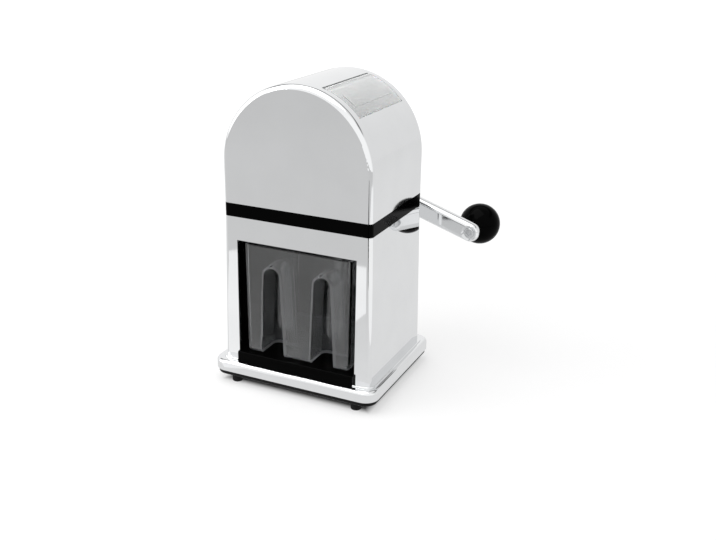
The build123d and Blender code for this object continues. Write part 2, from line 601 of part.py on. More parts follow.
def rotor_blade(index):
    """Steel claw wheel: a hub with hooked tines, turned on from its neighbour."""
    def polar(radius, angle):
        return (radius * cos(radians(angle)), radius * sin(radians(angle)))

    root = BLADE_HUB_R - FUSE
    middle = (root + BLADE_R) / 2
    lead_root = polar(root, TINE_ROOT_LEAD)
    lead_tip = polar(BLADE_R, TINE_TIP_LEAD)
    trail_tip = polar(BLADE_R, TINE_TIP_TRAIL)
    trail_root = polar(root, TINE_ROOT_TRAIL)
    lead = ThreePointArc(lead_root, polar(middle, TINE_MID_LEAD), lead_tip)
    nose = ThreePointArc(lead_tip, polar(BLADE_R, (TINE_TIP_LEAD + TINE_TIP_TRAIL) / 2), trail_tip)
    trail = ThreePointArc(trail_tip, polar(middle, TINE_MID_TRAIL), trail_root)
    tine = make_face(lead + nose + trail + Line(trail_root, lead_root))
    profile = Circle(BLADE_HUB_R)
    for number in range(TINES):
        profile += Rot(0, 0, number * 360 / TINES) * tine
    profile = Rot(0, 0, index * BLADE_TWIST) * profile - hexagon(SEAT)
    y = (index - (BLADES - 1) / 2) * PITCH
    return along_y(Pos(0, Z_SHAFT) * profile, y - BLADE_T / 2, y + BLADE_T / 2)


def rotor_spacer(index):
    """Tube between two blades, bored to pass the hexagon's corners."""
    start = -STACK_HALF + index * PITCH
    bore = HEX_AF / (2 * cos(pi / 6)) + SEAT
    tube = rod_y(SPACER_R, 0, Z_SHAFT, start, start + SPACER_L)
    return tube - rod_y(bore, 0, Z_SHAFT, start - OVER, start + SPACER_L + OVER)


# ---------------------------------------------------------------- hood, hopper and lid
def upper_housing():
    """Chromed hood: an arched shell with a rounded rim and the filling opening on its right."""
    hood = along_y(arch(0), -HALF_D, HALF_D)
    faces = hood.faces().sort_by(Axis.Y)
    rim = [e for face in (faces[0], faces[-1]) for e in face.edges() if e.center().Z > Z_HOOD + FUSE]
    hood = fillet(rim, CORNER_R)
    hood -= along_y(arch(WALL), -HALF_D + WALL, HALF_D - WALL)
    opening = sector(DOME_IN - WALL, DOME_R + WALL, OPENING_FROM, OPENING_TO)
    hood -= along_y(opening, -OPENING_HALF_Y, OPENING_HALF_Y)
    low_boss = Z_HOOD + SPIGOT_H
    for x, y in four(BOSS_X, BOSS_Y):
        hood += rod_z(BOSS_R, x, y, low_boss, low_boss + BOSS_H)
        hood -= rod_z(SCREW_R + SEAT, x, y, low_boss - OVER, low_boss + BOSS_H - HOLE_END)
    lug = sector(
        DOME_IN - HINGE_LUG_T, DOME_IN + FUSE, LID_FROM - HINGE_LUG_HALF, LID_FROM + HINGE_LUG_HALF,
    )
    for y_from, y_to in ((-LUG_END, -OPENING_HALF_Y), (OPENING_HALF_Y, LUG_END)):
        hood += along_y(lug, y_from, y_to)
    return hood - rod_y(HINGE_PIN_R + SEAT, HINGE_X, HINGE_Z, -LUG_END + HINGE_STOP, LUG_END - HINGE_STOP)


def frame_screws():
    """Four long screws up through the lower body and the waist frame into the hood."""
    seat = Z_BAND - SPIGOT_H - BOSS_H
    screw = pan_head(SCREW_R, SCREW_HEAD_R, Z_HOOD + SPIGOT_H + BOSS_H - BOSS_END - seat)
    return Compound(children=[Pos(x, y, seat) * screw for x, y in four(BOSS_X, BOSS_Y)])


def hopper():
    """Chute from the lid down to the chamber, with a curved ledge against the hood."""
    lean = radians((MOUTH_FROM + MOUTH_TO) / 2)
    half_t = DOME_R * sin(radians((MOUTH_TO - MOUTH_FROM) / 2))
    mouth = Plane(
        origin=(DOME_R * sin(lean), 0, Z_DOME + DOME_R * cos(lean)),
        x_dir=(cos(lean), 0, -sin(lean)),
        z_dir=(sin(lean), 0, cos(lean)),
    )

    def funnel(grow):
        low = Plane.XY.offset(Z_CHAMBER_TOP) * Rectangle(2 * (CHAMBER_X + grow), 2 * (CHAMBER_Y + grow))
        high = mouth * Rectangle(2 * (half_t + grow), 2 * (MOUTH_HALF_Y + grow))
        return loft([low, high], ruled=True)

    chute = funnel(HOPPER_T) & rod_y(LEDGE_R, 0, Z_DOME, -HALF_D, HALF_D)
    ledge_from = LID_FROM + LEDGE_SETBACK
    ledge_to = OPENING_TO + degrees(LEDGE_W / DOME_R)
    ledge_y = OPENING_HALF_Y + LEDGE_W
    chute += along_y(sector(LEDGE_R - LEDGE_T, LEDGE_R, ledge_from, ledge_to), -ledge_y, ledge_y)
    collar_x = CHAMBER_OUT_X + SLIP
    collar_y = STACK_HALF + SLIP
    collar_foot = Z_CHAMBER_TOP - COLLAR_LAP
    outline = RectangleRounded(
        2 * (collar_x + HOPPER_T), 2 * (collar_y + HOPPER_T), CHAMBER_CORNER + HOPPER_T / 2,
    )
    collar = upright(outline, collar_foot, Z_CHAMBER_TOP + HOPPER_T)
    socket = RectangleRounded(2 * collar_x, 2 * collar_y, CHAMBER_CORNER)
    collar -= upright(socket, collar_foot - OVER, Z_CHAMBER_TOP)
    throat = upright(Rectangle(2 * CHAMBER_X, 2 * CHAMBER_Y), Z_CHAMBER_TOP - OVER, Z_CHAMBER_TOP)
    return chute + collar - (funnel(0) + throat)


def lid():
    """Clear curved flap with a hinge knuckle along its upper edge and a raised finger pad."""
    flap = sector(DOME_IN + LID_LIFT, DOME_R, LID_FROM, LID_TO)
    panel = along_y(flap, -LID_HALF_Y, LID_HALF_Y)
    pad = sector(DOME_R - FUSE, DOME_R + LID_PAD_H, LID_PAD_FROM, LID_PAD_TO)
    pad_y = LID_HALF_Y - LID_PAD_INSET
    panel += along_y(pad, -pad_y, pad_y)
    panel += rod_y(KNUCKLE_R, HINGE_X, HINGE_Z, -LID_HALF_Y, LID_HALF_Y)
    return panel - rod_y(HINGE_PIN_R + RUN, HINGE_X, HINGE_Z, -LID_HALF_Y - OVER, LID_HALF_Y + OVER)


def lid_pin():
    end = LUG_END - HINGE_STOP - LIE
    return rod_y(HINGE_PIN_R, HINGE_X, HINGE_Z, -end, end)


# ---------------------------------------------------------------- crank
def crank_arm():
    """Chromed lever: crowned bar with a hub for the shaft and a recess for the knob's screw."""
    bar_plane = Pos(KNOB_X / 2, (KNOB_Z + Z_SHAFT) / 2) * Rot(0, 0, -ARM_DROP)
    arm = along_y(bar_plane * SlotCenterToCenter(ARM_L, ARM_W), ARM_FRONT, ARM_REAR)
    arm = fillet(arm.faces().sort_by(Axis.Y)[0].edges(), ARM_CROWN)
    arm = fillet(arm.faces().sort_by(Axis.Y)[-1].edges(), ARM_REAR_EDGE)
    low = Plane.XZ.offset(-HUB_START) * (Pos(0, Z_SHAFT) * Circle(HUB_R - HUB_DRAFT))
    high = Plane.XZ.offset(-ARM_REAR) * (Pos(0, Z_SHAFT) * Circle(HUB_R + HUB_DRAFT))
    hub = loft([low, high], ruled=True)
    arm += fillet(hub.edges().sort_by(Axis.Y)[-1], HUB_EDGE)
    bore = Circle(JOURNAL_R + SEAT) & Rectangle(FLAT_AF + 2 * SEAT, 4 * JOURNAL_R)
    arm -= along_y(Pos(0, Z_SHAFT) * bore, FLATS_FROM, ARM_REAR - ARM_WEB)
    arm -= rod_y(JOURNAL_R + SEAT, 0, Z_SHAFT, HUB_START - OVER, FLATS_FROM + SLIP)
    arm -= rod_y(CRANK_SCREW_R + SEAT, 0, Z_SHAFT, ARM_REAR - ARM_WEB - OVER, ARM_REAR + OVER)
    arm -= rod_y(RECESS_R, KNOB_X, KNOB_Z, ARM_FRONT - OVER, ARM_FRONT + RECESS_DEPTH)
    return arm - rod_y(CRANK_SCREW_R + SEAT, KNOB_X, KNOB_Z, ARM_FRONT, ARM_REAR + OVER)


def crank_screw():
    """Screw that clamps the arm on the shaft's end."""
    screw = pan_head(CRANK_SCREW_R, CRANK_SCREW_HEAD_R, CRANK_SCREW_L)
    return Pos(0, ARM_REAR, Z_SHAFT) * Rot(90, 0, 0) * screw


def knob_screw():
    """Screw in the arm's recess that holds the spindle."""
    seat = ARM_FRONT + RECESS_DEPTH
    screw = pan_head(CRANK_SCREW_R, CRANK_SCREW_HEAD_R, ARM_REAR - seat + KNOB_SCREW_REACH)
    return Pos(KNOB_X, seat, KNOB_Z) * Rot(-90, 0, 0) * screw


def knob_spindle():
    """Steel spindle with a head that keeps the knob on."""
    hole_end = ARM_REAR + KNOB_SCREW_REACH + OVER
    spindle = rod_y(SPINDLE_R, KNOB_X, KNOB_Z, ARM_REAR, SPINDLE_END)
    spindle += rod_y(SPINDLE_HEAD_R, KNOB_X, KNOB_Z, SPINDLE_END - SPINDLE_HEAD_T, SPINDLE_END)
    return spindle - rod_y(CRANK_SCREW_R + SEAT, KNOB_X, KNOB_Z, ARM_REAR - OVER, hole_end)


def knob_ball():
    return Pos(KNOB_X, KNOB_Y, KNOB_Z) * Sphere(KNOB_R)


def knob():
    """Black ball, bored for the spindle, with a pocket for the spindle's head."""
    front = KNOB_Y - KNOB_R
    rear = KNOB_Y + KNOB_R + OVER
    pocket = SPINDLE_END - SPINDLE_HEAD_T - LIE
    ball = knob_ball() - rod_y(SPINDLE_R + RUN, KNOB_X, KNOB_Z, front - OVER, rear)
    ball -= rod_y(KNOB_R, KNOB_X, KNOB_Z, front - OVER, front + KNOB_FLAT)
    return ball - rod_y(SPINDLE_HEAD_R + LIE, KNOB_X, KNOB_Z, pocket, rear)


def knob_cap():
    """Cap that closes the knob's pocket and follows the ball."""
    rear = KNOB_Y + KNOB_R
    plug = rod_y(SPINDLE_HEAD_R + LIE - SEAT, KNOB_X, KNOB_Z, rear - KNOB_CAP_T, rear + OVER)
    return plug & knob_ball()


# ---------------------------------------------------------------- write every node
nodes = {
    "base_plinth": base_plinth(),
    "base_pan": base_pan(),
    "base_screws": base_screws(),
    "lower_housing": lower_housing(),
    "bay_liner": bay_liner(),
    "ice_bin": ice_bin(),
    "waist_frame": waist_frame(),
    "front_bush": front_bush(),
    "rear_bush": rear_bush(),
    "crusher_chamber": crusher_chamber(),
    "chamber_screws": chamber_screws(),
    "comb_left": comb(-1),
    "comb_right": comb(1),
    "comb_screws": comb_screws(),
    "rotor_shaft": rotor_shaft(),
    "upper_housing": upper_housing(),
    "frame_screws": frame_screws(),
    "hopper": hopper(),
    "lid": lid(),
    "lid_pin": lid_pin(),
    "crank_arm": crank_arm(),
    "crank_screw": crank_screw(),
    "knob_screw": knob_screw(),
    "knob_spindle": knob_spindle(),
    "knob": knob(),
    "knob_cap": knob_cap(),
}
foot_names = ("foot_front_left", "foot_rear_left", "foot_front_right", "foot_rear_right")
for name, (x, y) in zip(foot_names, four(FOOT_X, FOOT_Y)):
    nodes[name] = foot(x, y)
for index in range(BLADES):
    nodes[f"rotor_blade_{index + 1}"] = rotor_blade(index)
for index in range(BLADES + 1):
    nodes[f"rotor_spacer_{index + 1}"] = rotor_spacer(index)

for name, shape in nodes.items():
    export_step(shape, f"parts/{name}.step")
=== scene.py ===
from math import cos, pi, radians, sin

import bmesh
import bpy
from mathutils import Matrix, Vector


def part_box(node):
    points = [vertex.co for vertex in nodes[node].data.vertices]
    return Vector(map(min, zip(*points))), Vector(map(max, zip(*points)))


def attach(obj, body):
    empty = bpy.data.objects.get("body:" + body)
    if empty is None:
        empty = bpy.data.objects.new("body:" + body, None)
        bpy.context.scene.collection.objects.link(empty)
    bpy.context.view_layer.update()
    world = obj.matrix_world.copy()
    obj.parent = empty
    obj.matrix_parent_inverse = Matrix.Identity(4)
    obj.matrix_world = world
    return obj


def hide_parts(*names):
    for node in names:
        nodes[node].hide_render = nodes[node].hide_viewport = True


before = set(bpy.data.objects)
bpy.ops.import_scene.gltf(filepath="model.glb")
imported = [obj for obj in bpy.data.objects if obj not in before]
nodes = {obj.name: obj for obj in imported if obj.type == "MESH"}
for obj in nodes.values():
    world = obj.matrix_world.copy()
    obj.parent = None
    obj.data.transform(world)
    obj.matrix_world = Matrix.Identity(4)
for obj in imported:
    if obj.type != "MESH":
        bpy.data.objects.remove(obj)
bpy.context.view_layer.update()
scene = bpy.context.scene
scene.view_settings.view_transform = "Standard"

# ---------------------------------------------------------------- camera
# A product photographer's camera, a little to the right of the crusher and above it, with a
# slight roll. Its lens has a length of 944 pixels over a frame that is 716 pixels wide.
FRAME_PIXELS = 716
LENS_PIXELS = 944.23
SENSOR_MM = 36.0
CLIP_NEAR = 0.05
CLIP_FAR = 60.0
CAMERA_AZIMUTH = radians(24.72)
CAMERA_ELEVATION = radians(20.78)
CAMERA_ROLL = radians(0.91)
CAMERA_AWAY = 0.804
CAMERA_AIM = Vector((0, 0, 0.126))
CAMERA_ASIDE = 0.02874
CAMERA_LOWER = 0.02967

backward = Vector((
    sin(CAMERA_AZIMUTH) * cos(CAMERA_ELEVATION),
    -cos(CAMERA_AZIMUTH) * cos(CAMERA_ELEVATION),
    sin(CAMERA_ELEVATION),
))
sideways = Vector((cos(CAMERA_AZIMUTH), sin(CAMERA_AZIMUTH), 0))
upward = backward.cross(sideways)
eye = CAMERA_AIM + backward * CAMERA_AWAY + sideways * CAMERA_ASIDE - upward * CAMERA_LOWER
rolled_side = cos(CAMERA_ROLL) * sideways + sin(CAMERA_ROLL) * upward
rolled_up = cos(CAMERA_ROLL) * upward - sin(CAMERA_ROLL) * sideways
turn = Matrix((rolled_side, rolled_up, backward)).transposed()

lens = bpy.data.cameras.new("studio_camera")
lens.sensor_width = SENSOR_MM
lens.lens = LENS_PIXELS * SENSOR_MM / FRAME_PIXELS
lens.clip_start = CLIP_NEAR
lens.clip_end = CLIP_FAR
camera = bpy.data.objects.new("studio_camera", lens)
camera.matrix_world = Matrix.Translation(eye) @ turn.to_4x4()
scene.collection.objects.link(camera)
scene.camera = camera

# ---------------------------------------------------------------- paper floor
# A sheet of white paper, matt, that takes a soft contact shadow. A glow for the eye, and for what
# is seen in or through the crusher, brings it to a photograph's white. Under the plinth it ends.
WHITE = "#FFFFFF"
PAPER = "#B0B0B0"
PAPER_HALF = 9.0
GLOW_TO_EYE = 0.55
GLOW_FAR = 0.38         # more of it where the softboxes no longer reach
FAR_FROM = 0.2
FAR_TO = 2.2
GLOW_STARTS = -0.0125   # metres outside the plinth's edge
GLOW_FULL = -0.0055
PAINTED_REFLECTION_FRONT = 0.70   # painted reflection: metal mirrors this glow before the crusher
PAINTED_REFLECTION_REAR = 0.89    # and behind it
FRONT_ENDS = -0.35
REAR_STARTS = -0.10
PAINTED_REFLECTION_SHARE = 0.85   # the rest of what metal mirrors is the paper with its shadows


def linear(code):
    """An sRGB hex colour as linear RGBA."""
    channels = [int(code[i:i + 2], 16) / 255 for i in (1, 3, 5)]
    return [c / 12.92 if c <= 0.04045 else ((c + 0.055) / 1.055) ** 2.4 for c in channels] + [1.0]


def add(tree, kind, settings=None, links=None):
    """One node, with its settings by attribute or socket, and the links to its inputs."""
    node = tree.nodes.new(kind)
    for name, value in (settings or {}).items():
        if isinstance(name, str) and name not in node.inputs:
            setattr(node, name, value)
        else:
            node.inputs[name].default_value = value
    for name, source in (links or {}).items():
        tree.links.new(source, node.inputs[name])
    return node


paper = bpy.data.materials.new("white_paper")
paper.use_nodes = True
tree = paper.node_tree
tree.nodes.clear()
ray = add(tree, "ShaderNodeLightPath")
place = add(tree, "ShaderNodeTexCoord")

away = add(tree, "ShaderNodeVectorMath", {"operation": "LENGTH"}, {0: place.outputs["Object"]})
by_distance = add(tree, "ShaderNodeMapRange", {
    "interpolation_type": "SMOOTHSTEP", "From Min": FAR_FROM, "From Max": FAR_TO,
    "To Min": GLOW_TO_EYE, "To Max": GLOW_TO_EYE + GLOW_FAR,
}, {"Value": away.outputs["Value"]})
to_eye = add(tree, "ShaderNodeMath", {"operation": "MAXIMUM"},
             {0: ray.outputs["Is Camera Ray"], 1: ray.outputs["Is Transmission Ray"]})
plinth_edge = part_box("base_plinth")[1]
place_abs = add(tree, "ShaderNodeVectorMath", {"operation": "ABSOLUTE"}, {0: place.outputs["Object"]})
past = add(tree, "ShaderNodeVectorMath", {"operation": "SUBTRACT", 1: (plinth_edge.x, plinth_edge.y, 0)},
           {0: place_abs.outputs[0]})
past_xyz = add(tree, "ShaderNodeSeparateXYZ", None, {"Vector": past.outputs[0]})
outside = add(tree, "ShaderNodeMath", {"operation": "MAXIMUM"},
              {0: past_xyz.outputs["X"], 1: past_xyz.outputs["Y"]})
# The glow fades out in a band just inside the plinth's outline, so the paper under the plinth turns dark:
# painted shade that sets the dark line below the pan, on top of the real shadow there.
outside_painted_shade = add(tree, "ShaderNodeMapRange", {"From Min": GLOW_STARTS, "From Max": GLOW_FULL},
                {"Value": outside.outputs[0]})
strength = add(tree, "ShaderNodeMath", {"operation": "MULTIPLY"},
               {0: by_distance.outputs["Result"], 1: to_eye.outputs[0]})
strength = add(tree, "ShaderNodeMath", {"operation": "MULTIPLY"},
               {0: strength.outputs[0], 1: outside_painted_shade.outputs["Result"]})
glow = add(tree, "ShaderNodeEmission", {"Color": linear(WHITE)}, {"Strength": strength.outputs[0]})
fibre = add(tree, "ShaderNodeBsdfDiffuse", {"Color": linear(PAPER)})
lit_paper = add(tree, "ShaderNodeAddShader", None, {0: fibre.outputs[0], 1: glow.outputs[0]})

# Metal sees the paper mostly as a flat glow, dimmer before the crusher and brighter behind it: a painted
# reflection. The rest is the paper as lit, with its shadows.
place_xyz = add(tree, "ShaderNodeSeparateXYZ", None, {"Vector": place.outputs["Object"]})
painted_reflection = add(tree, "ShaderNodeMapRange", {
    "From Min": FRONT_ENDS, "From Max": REAR_STARTS, "To Min": PAINTED_REFLECTION_FRONT, "To Max": PAINTED_REFLECTION_REAR,
}, {"Value": place_xyz.outputs["Y"]})
painted_reflection = add(tree, "ShaderNodeEmission", {"Color": linear(WHITE)},
               {"Strength": painted_reflection.outputs["Result"]})
share = add(tree, "ShaderNodeMath", {"operation": "MULTIPLY", 1: PAINTED_REFLECTION_SHARE},
            {0: ray.outputs["Is Glossy Ray"]})
seen = add(tree, "ShaderNodeMixShader", None,
           {0: share.outputs[0], 1: lit_paper.outputs[0], 2: painted_reflection.outputs[0]})
add(tree, "ShaderNodeOutputMaterial", None, {"Surface": seen.outputs[0]})

sheet = bpy.data.meshes.new("paper_floor")
corners = [(x * PAPER_HALF, y * PAPER_HALF, 0) for x, y in ((-1, -1), (1, -1), (1, 1), (-1, 1))]
sheet.from_pydata(corners, [], [range(len(corners))])
sheet.materials.append(paper)
floor = bpy.data.objects.new("paper_floor", sheet)
scene.collection.objects.link(floor)

# ---------------------------------------------------------------- tent and softboxes
# A tent of white cloth round the table, with one softbox overhead and one at the left. Metal
# mirrors the tent's bright front, its duller rear, and the dark seam below the roof at the rear.
# These are painted reflections: only metal and clear plastic see them, while matt surfaces get an
# even light from the tent.
TENT_LIGHT = 0.72       # on matt surfaces
TENT_TO_EYE = 1.0
TENT_FRONT = 1.08       # as metal and clear plastic show it
TENT_REAR_LEFT = 0.97
TENT_REAR_RIGHT = 0.82
REAR_LEFT_ENDS = -0.35  # these four are sides of a direction of length 1
REAR_RIGHT_STARTS = 0.40
TENT_FRONT_ENDS = -0.2
TENT_REAR_STARTS = 0.3
SEAM_HEIGHT = 0.66      # sine of its elevation
SEAM_HALF = 0.05
SEAM_SOFT = 0.12
SEAM_DARK = 0.2

tent = bpy.data.worlds.new("white_tent")
tent.use_nodes = True
tree = tent.node_tree
tree.nodes.clear()
ray = add(tree, "ShaderNodeLightPath")
place = add(tree, "ShaderNodeTexCoord")
toward = add(tree, "ShaderNodeSeparateXYZ", None, {"Vector": place.outputs["Generated"]})
rear = add(tree, "ShaderNodeMapRange", {
    "From Min": REAR_LEFT_ENDS, "From Max": REAR_RIGHT_STARTS,
    "To Min": TENT_REAR_LEFT, "To Max": TENT_REAR_RIGHT,
}, {"Value": toward.outputs["X"]})
off_seam = add(tree, "ShaderNodeMath", {"operation": "SUBTRACT", 1: SEAM_HEIGHT}, {0: toward.outputs["Z"]})
off_seam = add(tree, "ShaderNodeMath", {"operation": "ABSOLUTE"}, {0: off_seam.outputs[0]})
seam = add(tree, "ShaderNodeMapRange", {
    "From Min": SEAM_HALF, "From Max": SEAM_SOFT, "To Min": SEAM_DARK, "To Max": 1.0,
}, {"Value": off_seam.outputs[0]})
rear = add(tree, "ShaderNodeMath", {"operation": "MULTIPLY"},
           {0: rear.outputs["Result"], 1: seam.outputs["Result"]})
rearward = add(tree, "ShaderNodeMapRange", {"From Min": TENT_FRONT_ENDS, "From Max": TENT_REAR_STARTS},
               {"Value": toward.outputs["Y"]})
shown = add(tree, "ShaderNodeMix", {"data_type": "FLOAT", "A": TENT_FRONT},
            {"Factor": rearward.outputs["Result"], "B": rear.outputs[0]})
by_object = add(tree, "ShaderNodeMath", {"operation": "MAXIMUM"},
                {0: ray.outputs["Is Glossy Ray"], 1: ray.outputs["Is Transmission Ray"]})
strength = add(tree, "ShaderNodeMix", {"data_type": "FLOAT", "A": TENT_LIGHT},
               {"Factor": by_object.outputs[0], "B": shown.outputs["Result"]})
strength = add(tree, "ShaderNodeMix", {"data_type": "FLOAT", "B": TENT_TO_EYE},
               {"Factor": ray.outputs["Is Camera Ray"], "A": strength.outputs["Result"]})
cloth = add(tree, "ShaderNodeBackground", {"Color": linear(WHITE)},
            {"Strength": strength.outputs["Result"]})
add(tree, "ShaderNodeOutputWorld", None, {"Surface": cloth.outputs[0]})
scene.world = tent

for name, spot, size, power in (
    ("overhead_softbox", Vector((-0.25, -0.35, 1.5)), 1.5, 12.0),
    ("left_softbox", Vector((-1.4, -0.9, 0.9)), 1.4, 9.0),
):
    lamp = bpy.data.lights.new(name, "AREA")
    lamp.shape = "SQUARE"
    lamp.size = size
    lamp.energy = power
    light = bpy.data.objects.new(name, lamp)
    light.location = spot
    light.rotation_mode = "QUATERNION"
    light.rotation_quaternion = (CAMERA_AIM - spot).to_track_quat("-Z", "Y")
    scene.collection.objects.link(light)

# ---------------------------------------------------------------- cards for the chrome
# White cards and a black flag lie on the paper where the camera does not see them, so that the
# polished metal has something to mirror: a white foot to its front and a dark line down a corner.
# They are painted reflections: each glows at a set level, only metal sees them, and they light
# nothing and cast no shadow.
CARD_LIFT = 0.0005
CARD_POINTS = 48

for name, level, centre, half, squareness in (
    ("front_reflection_card", 1.03, (-0.148, -0.235), (0.125, 0.150), 4),
    ("right_reflection_card", 1.03, (0.650, -0.200), (0.450, 0.450), 4),
    ("dark_reflection_flag", 0.03, (0.200, -0.850), (0.110, 0.530), 2),
):
    outline = []
    for i in range(CARD_POINTS):
        a = 2 * pi * i / CARD_POINTS
        x, y = (abs(v) ** (2 / squareness) * (1 if v > 0 else -1) for v in (cos(a), sin(a)))
        outline.append((centre[0] + half[0] * x, centre[1] + half[1] * y, CARD_LIFT))
    board = bpy.data.meshes.new(name)
    board.from_pydata(outline, [], [range(CARD_POINTS)])
    material = bpy.data.materials.new(name)
    material.use_nodes = True
    tree = material.node_tree
    tree.nodes.clear()
    glow = add(tree, "ShaderNodeEmission", {"Color": linear(WHITE), "Strength": level})
    add(tree, "ShaderNodeOutputMaterial", None, {"Surface": glow.outputs[0]})
    board.materials.append(material)
    card = bpy.data.objects.new(name, board)
    card.visible_camera = False
    card.visible_diffuse = False
    card.visible_shadow = False
    card.visible_transmission = False
    scene.collection.objects.link(card)

# ---------------------------------------------------------------- plinth, shells and crank
# The plinth, both body shells and the crank are steel, pressed or cast, then polished and
# chromium plated: a clear mirror, with a slow wave from the pressing and a few wiped smudges.
CHROME = "#EEEFF0"
CHROME_WIPED = "#E6E7E8"
CHROME_ROUGH = (0.03, 0.07)
SMUDGE = 0.030
SMUDGE_FROM = 0.35
SMUDGE_TO = 0.75
WAVE = 0.045            # metres from crest to crest
WAVE_DEPTH = 0.00006
DRAFT = 0.056           # slope of the upper shell's walls, as they mirror it; the form is upright
DRAFT_FROM = 0.158

chrome = bpy.data.materials.new("chromium_plated_steel")
chrome.use_nodes = True
tree = chrome.node_tree
surface = tree.nodes["Principled BSDF"]
surface.inputs["Metallic"].default_value = 1.0
where = add(tree, "ShaderNodeTexCoord")
smudge = add(tree, "ShaderNodeTexNoise", {"Scale": 1 / SMUDGE, "Detail": 4.0},
             {"Vector": where.outputs["Object"]})
tone = add(tree, "ShaderNodeMix", {"data_type": "RGBA", 6: linear(CHROME), 7: linear(CHROME_WIPED)},
           {0: smudge.outputs["Fac"]})
gloss = add(tree, "ShaderNodeMapRange", {
    "From Min": SMUDGE_FROM, "From Max": SMUDGE_TO, "To Min": CHROME_ROUGH[0], "To Max": CHROME_ROUGH[1],
}, {"Value": smudge.outputs["Fac"]})
height = add(tree, "ShaderNodeSeparateXYZ", None, {"Vector": where.outputs["Object"]})
height = add(tree, "ShaderNodeMath", {"operation": "SUBTRACT", 1: DRAFT_FROM}, {0: height.outputs["Z"]})
height = add(tree, "ShaderNodeMath", {"operation": "MAXIMUM", 1: 0.0}, {0: height.outputs[0]})
height = add(tree, "ShaderNodeMath", {"operation": "MULTIPLY", 1: -DRAFT}, {0: height.outputs[0]})
draft = add(tree, "ShaderNodeBump", {"Distance": 1.0}, {"Height": height.outputs[0]})
slow = add(tree, "ShaderNodeTexNoise", {"Scale": 1 / WAVE, "Detail": 1.0},
           {"Vector": where.outputs["Object"]})
wave = add(tree, "ShaderNodeBump", {"Strength": 0.5, "Distance": WAVE_DEPTH},
           {"Height": slow.outputs["Fac"], "Normal": draft.outputs["Normal"]})
tree.links.new(tone.outputs[2], surface.inputs["Base Color"])
tree.links.new(gloss.outputs["Result"], surface.inputs["Roughness"])
tree.links.new(wave.outputs["Normal"], surface.inputs["Normal"])
for name in ("base_plinth", "lower_housing", "upper_housing", "crank_arm"):
    nodes[name].material_slots[0].material = chrome

# ---------------------------------------------------------------- under-pan and crushing chamber
# Under-pan and crushing chamber are black ABS, injection moulded with a fine spark texture
# that makes them satin. The pan shows as a thin black line under the plinth.
ABS_BLACK = "#060606"
ABS_GREY = "#0B0B0B"
ABS_IOR = 1.54
SPARK_GRAIN = 0.0006    # a real grain of 0.1 mm, drawn coarser so that it shows
SPARK_DEPTH = 0.0001

abs_satin = bpy.data.materials.new("black_ABS_satin")
abs_satin.use_nodes = True
tree = abs_satin.node_tree
surface = tree.nodes["Principled BSDF"]
surface.inputs["IOR"].default_value = ABS_IOR
surface.inputs["Specular IOR Level"].default_value = 0.15
surface.inputs["Roughness"].default_value = 0.42
where = add(tree, "ShaderNodeTexCoord")
grain = add(tree, "ShaderNodeTexNoise", {"Scale": 1 / SPARK_GRAIN, "Detail": 2.0},
            {"Vector": where.outputs["Object"]})
tone = add(tree, "ShaderNodeMix", {"data_type": "RGBA", 6: linear(ABS_BLACK), 7: linear(ABS_GREY)},
           {0: grain.outputs["Fac"]})
pits = add(tree, "ShaderNodeBump", {"Strength": 0.2, "Distance": SPARK_DEPTH},
           {"Height": grain.outputs["Fac"]})
tree.links.new(tone.outputs[2], surface.inputs["Base Color"])
tree.links.new(pits.outputs["Normal"], surface.inputs["Normal"])
for name in ("base_pan", "crusher_chamber"):
    nodes[name].material_slots[0].material = abs_satin

# ---------------------------------------------------------------- waist frame, bay and knob
# Waist frame, bay liner and ball knob are the same black ABS from polished moulds, so their
# edges are sharp and their black is deep, with a faint haze where hands wipe it.
POLISHED_BLACK = "#020202"
POLISHED_HAZE = "#050505"
POLISHED_ROUGH = (0.06, 0.14)
HAZE = 0.02

abs_gloss = bpy.data.materials.new("black_ABS_polished")
abs_gloss.use_nodes = True
tree = abs_gloss.node_tree
surface = tree.nodes["Principled BSDF"]
surface.inputs["IOR"].default_value = ABS_IOR
surface.inputs["Specular IOR Level"].default_value = 0.02
where = add(tree, "ShaderNodeTexCoord")
haze = add(tree, "ShaderNodeTexNoise", {"Scale": 1 / HAZE, "Detail": 3.0},
           {"Vector": where.outputs["Object"]})
tone = add(tree, "ShaderNodeMix", {
    "data_type": "RGBA", 6: linear(POLISHED_BLACK), 7: linear(POLISHED_HAZE),
}, {0: haze.outputs["Fac"]})
gloss = add(tree, "ShaderNodeMapRange", {"To Min": POLISHED_ROUGH[0], "To Max": POLISHED_ROUGH[1]},
            {"Value": haze.outputs["Fac"]})
tree.links.new(tone.outputs[2], surface.inputs["Base Color"])
tree.links.new(gloss.outputs["Result"], surface.inputs["Roughness"])
for name in ("waist_frame", "bay_liner", "knob", "knob_cap"):
    nodes[name].material_slots[0].material = abs_gloss

# ---------------------------------------------------------------- feet
# Four moulded rubber feet, pushed into the pan. Rubber is matt and black, and here it is
# slightly dusty, so that it never turns quite black.
RUBBER_BLACK = "#070707"
RUBBER_DUSTY = "#141414"
DUST = 0.003

rubber = bpy.data.materials.new("black_rubber")
rubber.use_nodes = True
tree = rubber.node_tree
surface = tree.nodes["Principled BSDF"]
surface.inputs["Roughness"].default_value = 0.75
surface.inputs["IOR"].default_value = 1.52
surface.inputs["Specular IOR Level"].default_value = 0.2
where = add(tree, "ShaderNodeTexCoord")
dust = add(tree, "ShaderNodeTexNoise", {"Scale": 1 / DUST, "Detail": 4.0},
           {"Vector": where.outputs["Object"]})
tone = add(tree, "ShaderNodeMix", {"data_type": "RGBA", 6: linear(RUBBER_BLACK), 7: linear(RUBBER_DUSTY)},
           {0: dust.outputs["Fac"]})
tree.links.new(tone.outputs[2], surface.inputs["Base Color"])
for name in ("foot_front_left", "foot_rear_left", "foot_front_right", "foot_rear_right"):
    nodes[name].material_slots[0].material = rubber

